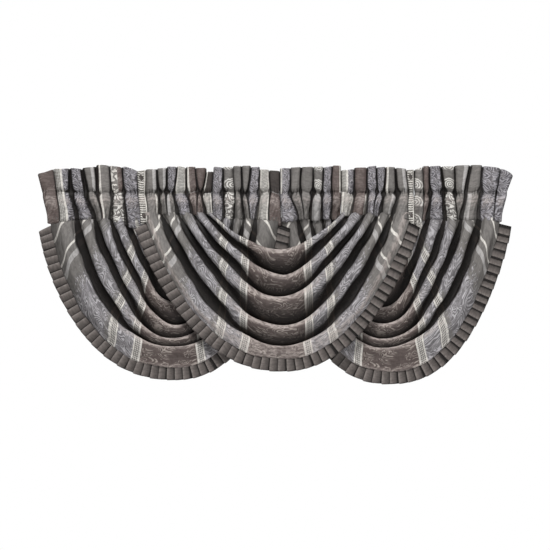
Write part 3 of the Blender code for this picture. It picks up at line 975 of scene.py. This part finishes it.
headings = {
    "left_outer": {
        "swag": "left", "side": -1, "flatEnd": -1,
        "edges": [
            (-99.8, -97.8, -95.7, 0, 0, 0, 14), (-93.4, -91.8, -90.8, 2, 3, 3, 10),
            (-86.4, -85.9, -83.4, 13, 21, 19, 0), (-81.2, -79.6, -76.2, 16, 21, 19, 0),
            (-75.4, -74.6, -73.1, 17, 13, 3, 0), (-69.9, -68.9, -69.3, 5, 9, 19, 0),
            (-64.5, -64.0, -62.7, 6, 8, 18, 28), (-58.1, -58.0, -54.6, 3, 3, 3, 34),
        ],
        "ruffles": [
            (35, 17, "brown", "brown"), (17, 15, "dottedTaupe", "dottedTaupe"),
            (13, 18, "lilac", "lilac"), (12, 7, "taupeBand", "taupe"),
            (0, 3, "creamTaupe", "creamTaupe"), (4, 11, "leafBrown", "curl"),
            (7, 26, "lilac", "lilac"),
        ],
    },
    "centre_left": {
        "swag": "centre", "side": -1, "flatEnd": 0,
        "edges": [
            (-58.4, -58.0, -56.9, 3, 3, 3, 36), (-54.7, -54.5, -53.8, 2, 3, 3, 26),
            (-50.0, -49.4, -48.6, 7, 13, 18, 0), (-45.8, -46.1, -45.5, 8, 10, 3, 0),
            (-41.6, -42.7, -41.6, 6, 7, 18, 0), (-37.8, -37.5, -35.4, 8, 9, 16, 0),
            (-33.9, -33.1, -32.9, 5, 9, 3, 0), (-29.3, -31.0, -30.0, 3, 7, 16, 0),
            (-26.4, -27.1, -26.7, 3, 3, 3, 0),
        ],
        "ruffles": [
            (26, 21, "ladder", "ladder"), (19, 18, "taupeBand", "taupeCream"),
            (15, 12, "taupeBand", "creamTaupe"), (7, 9, "lilac", "satinTaupe"),
            (6, 13, "dotted", "lilac"), (8, 8, "creamBrown", "brown"),
            (13, 13, "brown", "brown"), (29, 29, "darkCream", "dotted"),
        ],
    },
    "left_inner": {
        "swag": "left", "side": 1, "flatEnd": 1,
        "edges": [
            (-26.3, -27.0, -26.6, 3, 3, 3, 0), (-22.4, -22.2, -22.4, 7, 11, 13, 0),
            (-18.2, -17.6, -17.7, 2, 3, 10, 0), (-14.6, -14.5, -13.5, 7, 9, 11, 0),
            (-10.7, -11.9, -11.3, 9, 8, 5, 0), (-7.0, -7.3, -8.4, 5, 9, 17, 0),
            (-3.1, -2.9, -3.1, 3, 6, 5, 3), (1.4, 1.4, 2.0, 2, 2, 2, 26),
        ],
        "ruffles": [
            (8, 12, "lilac", "lilac"), (9, 11, "scallopRight", "curl"),
            (5, 5, "taupe", "taupe"), (4, 4, "taupe", "taupe"),
            (10, 8, "lilac", "lilac"), (19, 21, "dotted", "dotted"),
            (23, 26, "dark", "brown"),
        ],
    },
    "right_inner": {
        "swag": "right", "side": -1, "flatEnd": 0,
        "edges": [
            (1.5, 1.5, 2.1, 2, 2, 2, 6), (5.8, 5.9, 8.8, 5, 8, 10, 0),
            (10.3, 9.8, 11.7, 8, 6, 3, 0), (15.4, 15.1, 14.2, 4, 11, 13, 0),
            (19.6, 19.3, 18.7, 6, 7, 13, 0), (23.3, 23.0, 22.9, 6, 5, 10, 0),
            (26.9, 27.0, 26.8, 2, 2, 2, 0),
        ],
        "ruffles": [
            (14, 14, "creamLilac", "lilac"), (11, 9, "taupe", "taupe"),
            (9, 8, "taupe", "taupe"), (8, 7, "scallop", "satin"),
            (10, 5, "lilac", "lilac"), (3, 3, "brownCream", "brown"),
        ],
    },
    "centre_right": {
        "swag": "centre", "side": 1, "flatEnd": 0,
        "edges": [
            (27.0, 27.1, 26.9, 3, 3, 3, 0), (32.5, 32.7, 31.0, 6, 8, 14, 0),
            (37.9, 37.8, 37.5, 6, 8, 17, 0), (41.8, 41.9, 40.6, 7, 7, 3, 0),
            (45.6, 45.0, 43.1, 4, 9, 18, 0), (49.7, 50.5, 48.8, 9, 13, 18, 0),
            (54.3, 55.1, 55.1, 2, 3, 3, 22), (57.5, 57.4, 57.6, 3, 3, 3, 38),
        ],
        "ruffles": [
            (22, 18, "dottedTaupe", "dotted"), (12, 11, "brown", "brownCream"),
            (8, 3, "lilac", "lilac"), (11, 8, "lilac", "lilac"),
            (9, 10, "creamTaupe", "taupeBand"), (13, 17, "taupeBand", "taupe"),
            (22, 20, "ladder", "ladder"),
        ],
    },
    "right_outer": {
        "swag": "right", "side": 1, "flatEnd": 1,
        "edges": [
            (57.7, 57.7, 56.2, 3, 3, 3, 34), (61.1, 61.8, 60.8, 2, 3, 3, 6),
            (63.9, 64.1, 63.5, 6, 9, 19, 0), (68.8, 69.8, 70.6, 10, 13, 19, 0),
            (74.4, 74.8, 75.2, 5, 9, 3, 0), (81.1, 79.0, 77.4, 14, 16, 19, 0),
            (86.1, 85.1, 84.8, 9, 11, 19, 0), (93.6, 92.0, 90.5, 4, 4, 4, 8),
            (98.8, 96.4, 94.1, 0, 0, 0, 14),
        ],
        "ruffles": [
            (20, 8, "scallopLeft", "scallopLeft"), (6, 5, "brown", "brown"),
            (6, 4, "lilac", "lilac"), (7, 7, "scallop", "curl"),
            (3, 1, "taupeBand", "taupe"), (1, 1, "taupe", "satinTaupe"),
            (6, 14, "lilac", "lilac"), (16, 40, "lilacEnd", "lilacEnd"),
        ],
    },
}

headingSettings = {
    "thick": 1.2 * mm,
    "stepsPerRuffle": 22,
    "skirtRows": 30,
    "frontRows": 20,
    "roundRows": 8,
    "backRows": 8,
    "stitchDrop": 11.7 * cm,
    "stitchFront": 13.0 * mm,
    "stitchBack": 9.5 * mm,
    "valleyFront": 10.0 * mm,
    "ridgeFront": 29.0 * mm,
    "flatFront": 15.0 * mm,
    "back": 10.5 * mm,
    "gapDip": 4.5 * mm,
    "topRound": 5.0 * mm,
    "puff": 14.0 * mm,
    "seamLap": 1.0 * mm,
    "seamRound": 7.0 * mm,
    "seamFront": 1.6 * mm,
    "seamUneven": 8.0 * mm,
    "creasePitch": 13.0 * mm,
    "creaseDepth": 3.2 * mm,
    "creaseReach": 17.0 * mm,
    "stitchWander": 4.0 * mm,
    "sway": 2.5 * mm,
    "puffLit": 0.55,
    "ruffleUneven": 0.10,
    "notch": 1.3,
    "notchReach": 0.14,
    "ridgeUneven": 2.5 * mm,
    "pinchRise": 3.0 * mm,
    "slantDepth": 1.2 * mm,
    "frontWaver": 1.5 * mm,
    "backPuff": 1.5 * mm,
    "dipShade": 0.80,
}


def makeHeading(name, spec):
    settings = headingSettings
    swag = swags[spec["swag"]]
    edges = np.array(spec["edges"], float)
    ruffles = spec["ruffles"]
    count, steps = len(ruffles), settings["stepsPerRuffle"]
    place = (1.0 - np.cos(np.linspace(0.0, math.pi, steps + 1))) / 2.0
    place = 0.55 * place + 0.45 * np.linspace(0.0, 1.0, steps + 1)
    which = np.append(np.repeat(np.arange(count), steps), count - 1)
    local = np.append(np.tile(place[:-1], count), 1.0)
    fronts = np.full(count, settings["ridgeFront"]) + settings["ridgeUneven"] * np.sin(np.arange(count) * 2.3)
    if spec["flatEnd"] != 0:
        fronts[0 if spec["flatEnd"] < 0 else -1] = settings["flatFront"]
    rises = np.array([ruffle[:2] for ruffle in ruffles], float) * mm
    upper = np.array([stripeWindows[ruffle[2]] for ruffle in ruffles]) * cm
    lower = np.array([stripeWindows[ruffle[3]] for ruffle in ruffles]) * cm
    upperPlace = upper[which, 0] + (upper[which, 1] - upper[which, 0]) * local
    lowerPlace = lower[which, 0] + (lower[which, 1] - lower[which, 0]) * local

    # The rounded cross-section of a ruffle, and the flat top with soft shoulders
    body = (1.0 - np.abs(2.0 * local - 1.0) ** 3.0) ** 0.5
    shoulder = (1.0 - np.abs(2.0 * local - 1.0) ** 7.0) ** 0.6
    slope = rises[which, 0] + (rises[which, 1] - rises[which, 0]) * local ** 1.6
    top = slope + settings["gapDip"] * (1.0 - shoulder)

    def across(level):
        # Place, roundness and painted shade at a level: 0 the top, 1 the stitches, 2 the seam. The painted
        # shade darkens the dips between ruffles and the rounded sides of each ruffle
        low = min(int(level), 1)
        part = level - low
        bend = smooth(part) if low == 1 else part
        ends = (edges[:, low] + (edges[:, low + 1] - edges[:, low]) * bend) * cm
        ends[1:-1] += settings["sway"] * np.sin(level * 3.4 + np.arange(1, count) * 1.9) * min(1.0, level)
        dipWidth = edges[:, low + 3]
        dips = (dipWidth + (edges[:, low + 4] - dipWidth) * part) * mm / 2.0 + 0.2 * mm
        pinched = 1.0 + settings["notch"] * math.exp(-((level - 1.0) / settings["notchReach"]) ** 2)
        dips = np.where((dipWidth > 1.0) & (dipWidth < 14.0), dips * pinched, dips)
        wide = ends[which + 1] - ends[which]
        x = ends[which] + wide * local
        fromLeft, fromRight = local * wide / dips[which], (1.0 - local) * wide / dips[which + 1]
        nearest = np.minimum(fromLeft, fromRight)
        shade = 1.0 - ease(nearest, 1.0, 1.35)
        shade = np.maximum(shade, settings["dipShade"] * (1.0 - body) ** 1.1)
        return x, body * ease(nearest, 0.0, 1.3), shade

    # The seam follows the body's own waves
    seamPoints = bodyHalf(swag, spec["side"], np.zeros(1))[0][:, 0]
    seamPoints = seamPoints[np.argsort(seamPoints[:, 0])]
    seamY = np.interp(across(2.0)[0], seamPoints[:, 0], seamPoints[:, 1]) - settings["seamFront"]
    hang = (edges[which, 6] + (edges[which + 1, 6] - edges[which, 6]) * local) * mm + settings["seamLap"]
    unlike = 0.5 + 0.5 * np.sin(which * 2.3 + 1.0)
    hang = hang + settings["seamRound"] * body + settings["seamUneven"] * unlike
    stitchX = across(1.0)[0]
    stitchDrop = settings["stitchDrop"] + settings["stitchWander"] * (
        np.sin(stitchX * 43.0) + 0.7 * np.sin(stitchX * 101.0 + 1.0))
    seamDrop = swag["seamDrop"]

    def creases(x, drop):
        near = np.exp(-((drop - stitchDrop) / settings["creaseReach"]) ** 2)
        fan = 110.0 * (drop - stitchDrop) * np.sin(x * 23.0)
        turn = x * 2.0 * math.pi / settings["creasePitch"] + 3.0 * np.sin(x * 47.0) + fan
        return near * np.sin(turn) * (0.55 + 0.45 * np.sin(x * 83.0 + 1.0))

    uneven = settings["ruffleUneven"] * np.sin(which * 5.1 + len(name))
    rows, shades, alongs = [], [], []

    # Skirt, from the seam up to the stitches
    for step in range(settings["skirtRows"]):
        h = step / settings["skirtRows"]
        drop = seamDrop + hang * (1.0 - h) ** 3 + (stitchDrop - seamDrop) * h
        x, profile, shade = across(2.0 - h)
        pinch = -settings["stitchFront"] - settings["pinchRise"] * profile
        toSeam = smooth(1.0 - h)
        puff = settings["puff"] * profile * math.sin(math.pi * min(1.0, (1.0 - h) * 1.35)) ** 0.7
        crease = creases(x, drop)
        slant = np.sin(x * 330.0 + 150.0 * drop + 2.0 * np.sin(x * 61.0)) * math.sin(math.pi * h) ** 0.5
        y = pinch + (seamY - pinch) * toSeam - puff * (1.0 - toSeam) + settings["creaseDepth"] * crease
        y = y + settings["slantDepth"] * slant
        rows.append(np.stack([x, y, -drop], axis=1))
        # Painted shade in the stitch creases, along the slant lines and along the foot by the seam; lit is a
        # painted highlight on the upper part of each puff
        paintedShading = settings["dipShade"] * ease(crease, 0.1, 0.7) + 0.25 * ease(slant, 0.4, 0.95)
        paintedShading = paintedShading + 0.35 * (1.0 - ease(h, 0.0, 0.14))
        lit = settings["puffLit"] * profile * math.sin(math.pi * max(0.0, (h - 0.35) / 0.65)) ** 1.5
        shades.append(np.maximum(shade, np.minimum(paintedShading, 1.0)) + uneven - lit)
        alongs.append(lowerPlace)

    # Front of the pocket, from the stitches up to the top edge
    for step in range(settings["frontRows"]):
        h = step / settings["frontRows"]
        drop = stitchDrop + (top + settings["topRound"] - stitchDrop) * h
        x, profile, shade = across(1.0 - h)
        ridge = settings["valleyFront"] + (fronts[which] - settings["valleyFront"]) * profile
        lift = min(1.0, h * 5.0) ** 0.6
        crease = creases(x, drop)
        y = -settings["stitchFront"] + (settings["stitchFront"] - ridge) * lift
        y = y + settings["creaseDepth"] * crease
        y = y - settings["pinchRise"] * profile * (1.0 - lift)
        y = y - settings["frontWaver"] * np.sin(x * 61.0 + drop * 40.0) * h * (1.0 - h) * 4.0 * profile
        rows.append(np.stack([x, y, -drop], axis=1))
        # Painted shade in the stitch creases
        shades.append(np.maximum(shade, settings["dipShade"] * ease(crease, 0.1, 0.7)) + uneven)
        alongs.append(upperPlace)

    # Over the rounded top edge, then down the back of the pocket to the stitches
    x, profile, shade = across(0.0)
    ridge = settings["valleyFront"] + (fronts[which] - settings["valleyFront"]) * profile
    for step in range(settings["roundRows"]):
        angle = math.pi * step / settings["roundRows"]
        y = (settings["back"] - ridge) / 2.0 - (settings["back"] + ridge) / 2.0 * math.cos(angle)
        drop = top + settings["topRound"] * (1.0 - math.sin(angle) ** 0.6)
        rows.append(np.stack([x, y, -drop], axis=1))
        # Painted shade of the dips and rounded sides, carried over the top edge
        shades.append(shade * 0.9)
        alongs.append(upperPlace)
    for step in range(settings["backRows"] + 1):
        h = step / settings["backRows"]
        start = top + settings["topRound"]
        drop = start + (stitchDrop - start) * h
        x = across(h)[0]
        y = settings["back"] + settings["backPuff"] * body
        y = y + (-settings["stitchBack"] - y) * ease(h, 0.82, 1.0)
        rows.append(np.stack([x, y, -drop], axis=1))
        # Painted shade on the rounded sides of each ruffle at the back
        shades.append((1.0 - body) * 0.5)
        alongs.append(upperPlace)
    points, shade = np.array(rows), np.array(shades)
    down = np.linalg.norm(np.diff(points, axis=0), axis=2)
    v = np.concatenate([np.zeros((1, local.size)), np.cumsum(down, axis=0)])
    v = v - v[settings["skirtRows"]]
    uv = np.stack([np.array(alongs), v], axis=2)
    item = clothGrid("gathered_" + name, points, uv, shade, settings["thick"], headingCloth)
    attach(item, "root")
    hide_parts("heading_" + name)
    print("heading made:", name, *(round(size, 3) for size in sheetSize(points)))
    return item


gathers = {name: makeHeading(name, spec) for name, spec in headings.items()}


# Knife-pleated trim along each hem

trimSettings = {
    "thick": 0.9 * mm,
    "depth": 5.3 * cm,
    "lap": 0.8 * cm,
    "behind": 2.1 * mm,
    "lean": 4.0 * mm,
    "underlay": 12.0 * mm,
    "rows": 8,
    "foldBack": 5.6 * mm,
    "foldInner": 3.5 * mm,
    "saw": 0.03,
    "backSteps": 3,
    "slideReach": 20.0 * cm,
    # faceTable: share of the pitch and painted shade along a face, the first a painted highlight at the front
    # fold; the setting after it gives the thin and thick widths of the painted shadow line where a face goes
    # under the next pleat
    "faceTable": [(0.06, -0.45), (0.20, 0.10), (0.45, 0.36), (0.70, 0.54)],
    "paintedShadowLine": (3.0 * mm, 8.0 * mm),
    "hemSamples": 600,
    "probe": 0.004,
    "probeCount": 9,
}


def hemFrames(swag, places, spread):
    dense = np.linspace(0.0, 1.0, trimSettings["hemSamples"])
    left = bodyHalf(swag, -1, dense)[0][0]
    right = bodyHalf(swag, 1, dense)[0][0][::-1]
    path = np.concatenate([left, right[1:]])
    run = np.concatenate([[0.0], np.cumsum(np.hypot(np.diff(path[:, 0]), np.diff(path[:, 2])))])
    share = run / run[-1]
    at = np.stack([np.interp(places, share, path[:, k]) for k in range(3)], axis=1)
    near = places[:, None] + np.linspace(-spread, spread, trimSettings["probeCount"])
    at[:, 1] = np.interp(near, share, path[:, 1]).max(axis=1)
    probe = trimSettings["probe"]
    ahead = np.stack([np.interp(places + probe, share, path[:, k]) for k in range(3)], axis=1)
    behind = np.stack([np.interp(places - probe, share, path[:, k]) for k in range(3)], axis=1)
    tangent = ahead - behind
    normal = np.stack([tangent[:, 2], np.zeros(places.size), -tangent[:, 0]], axis=1)
    normal /= np.linalg.norm(normal, axis=1)[:, None]
    return at, normal, run[-1]


def makeTrim(name, swag):
    settings = trimSettings
    pleats = swag["pleats"]
    total = hemFrames(swag, np.array([0.5]), 0.0)[2]
    start = swag["trimStart"] / total
    pitch = (1.0 - 2.0 * start) / pleats
    under = settings["underlay"] / total

    # One pleat: the return folded back behind the next face, its front fold, and that face
    # The third column of a station is its painted shade: the return in full painted shade, the fold going from
    # painted shade to none
    stations = []
    for step in range(settings["backSteps"]):
        share = step / settings["backSteps"]
        stations.append((under * (1.0 - share), settings["foldBack"] - 2.1 * mm * share, 1.0))
    for share in (0.0, 0.5, 1.0):
        bulge = -0.4 * mm / total * math.sin(math.pi * share)
        stations.append((bulge, settings["foldInner"] * (1.0 - share), 1.0 - share))
    faceEnd = len(stations) + len(settings["faceTable"])
    for share, dark in settings["faceTable"]:
        stations.append((share * pitch, 0.0, dark))
    stations += [(pitch, 0.0, 0.70), (pitch, 0.0, 1.0), (pitch + 0.5 * under, 0.0, 1.0)]
    stations = np.array(stations)
    perPleat = len(stations)
    number = np.repeat(np.arange(pleats), perPleat)
    kind = np.tile(np.arange(perPleat), pleats)
    offset = np.tile(stations[:, 0], pleats)
    # Width of the painted shadow line where a face goes under the next pleat, thin at the start of the trim
    # and thick at its end
    thin, thick = settings["paintedShadowLine"]
    dark = (thin + (thick - thin) * ease(number / pleats, 0.35, 0.7)) / total
    dark = dark * (1.0 + 0.25 * np.sin(number * 4.1))
    offset = offset - np.where(kind == faceEnd, 1.25 * dark, 0.0)
    offset = offset - np.where(kind == faceEnd + 1, 0.6 * dark, 0.0)
    onFace = kind > settings["backSteps"] + 2
    lift = -0.9 * mm * np.sin(math.pi * np.clip(offset / (pitch + under) * 1.1, 0.0, 1.0)) ** 0.7
    lift = lift + settings["foldBack"] * np.clip(offset / (pitch + under), 0.0, 1.0) ** 3
    back = np.where(onFace, lift, np.tile(stations[:, 1], pleats))
    shadeRow = np.tile(stations[:, 2], pleats)
    wobble = np.sin(number * 2.399 + 0.7) * 0.035 * pitch
    place = start + pitch * number + offset
    fromLeft = np.clip(1.0 - place * total / settings["slideReach"], 0.0, 1.0)
    fromRight = np.clip(1.0 - (1.0 - place) * total / settings["slideReach"], 0.0, 1.0)
    slide = (swag["trimSlide"][-1] * fromLeft ** 2 - swag["trimSlide"][1] * fromRight ** 2) / total
    at, normal, _ = hemFrames(swag, place, 0.5 * pitch)
    tilt = np.sin(number * 1.71 + 2.1) * 0.014
    longer = 1.0 + 0.02 * np.sin(number * 2.9 + 0.3)

    rows = []
    for row in range(settings["rows"] + 1):
        h = row / settings["rows"]
        outward = -settings["lap"] + (settings["lap"] + settings["depth"] * longer) * h
        saw = settings["saw"] * h * np.where(onFace, 1.0 - np.clip(offset / pitch, 0.0, 1.0), -0.6)
        reach = outward * (1.0 + saw)
        shifted, shiftedNormal, _ = hemFrames(swag, place + (slide + wobble + tilt * pitch) * h, 0.5 * pitch)
        points = shifted + shiftedNormal * reach[:, None]
        points[:, 1] += settings["behind"] + back + settings["lean"] * h
        rows.append(points)
    points = np.array(rows)
    across = np.concatenate([[0.0], np.cumsum(np.linalg.norm(np.diff(at, axis=0), axis=1))])
    v = np.linspace(0.0, settings["lap"] + settings["depth"], settings["rows"] + 1)
    uv = np.stack(np.broadcast_arrays(across[None, :], v[:, None]), axis=2)
    shade = np.broadcast_to(shadeRow, points.shape[:2])
    item = clothGrid("pleats_" + name, points, uv, shade, settings["thick"], trimCloth)
    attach(item, "root")
    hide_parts("trim_" + name)
    print("trim made:", name, *(round(size, 3) for size in sheetSize(points)))
    return item


trims = {name: makeTrim(name, swag) for name, swag in swags.items()}


# Studio: pale floor, white surroundings and soft lights

studioSettings = {
    "floorDrop": -1.9,
    "floorHalf": 2.0,
    "floorColour": (0.85, 0.85, 0.85, 1.0),
    "floorRoughness": 0.9,
    "lightAim": (0.0, 0.0, -0.45),
    "skySeen": 1.0,
    "skyLight": 0.12,
}


def makeFloor(settings):
    mesh = bpy.data.meshes.new("floor")
    plane = bmesh.new()
    bmesh.ops.create_grid(plane, x_segments=1, y_segments=1, size=settings["floorHalf"])
    plane.to_mesh(mesh)
    plane.free()
    floor = bpy.data.objects.new("floor", mesh)
    bpy.context.scene.collection.objects.link(floor)
    floor.location = (0.0, 0.0, settings["floorDrop"])
    material = bpy.data.materials.new("floor")
    material.use_nodes = True
    shader = material.node_tree.nodes["Principled BSDF"]
    shader.inputs["Base Color"].default_value = settings["floorColour"]
    shader.inputs["Roughness"].default_value = settings["floorRoughness"]
    mesh.materials.append(material)


makeFloor(studioSettings)

# Columns: name, place, size, power in watts
lightTable = [
    ("key light", (-1.2, -5.6, 6.0), 2.4, 590.0),
    ("right light", (3.4, -5.2, 2.6), 2.2, 105.0),
    ("front fill", (0.0, -6.5, -0.6), 2.6, 54.0),
    ("back fill", (-0.8, 6.0, 1.6), 3.0, 260.0),
]


def makeLight(name, place, size, power):
    data = bpy.data.lights.new(name, "AREA")
    data.shape = "DISK"
    data.size = size
    data.energy = power
    light = bpy.data.objects.new(name, data)
    bpy.context.scene.collection.objects.link(light)
    light.location = place
    aim = Vector(studioSettings["lightAim"]) - Vector(place)
    light.rotation_euler = aim.to_track_quat("-Z", "Y").to_euler()


for row in lightTable:
    makeLight(*row)


# The camera sees the surroundings white, and little of their light falls on the cloth
def makeSurroundings(settings):
    world = bpy.data.worlds.new("studio")
    world.use_nodes = True
    tree = world.node_tree
    background = tree.nodes["Background"]
    rays = tree.nodes.new("ShaderNodeLightPath")
    seen = settings["skySeen"] - settings["skyLight"]
    strength = maths(tree, "MULTIPLY_ADD", rays.outputs["Is Camera Ray"], seen, settings["skyLight"])
    background.inputs["Color"].default_value = (1.0, 1.0, 1.0, 1.0)
    feed(tree, background.inputs["Strength"], strength)
    bpy.context.scene.world = world
    bpy.context.scene.view_settings.view_transform = "Standard"


makeSurroundings(studioSettings)
print("studio made")
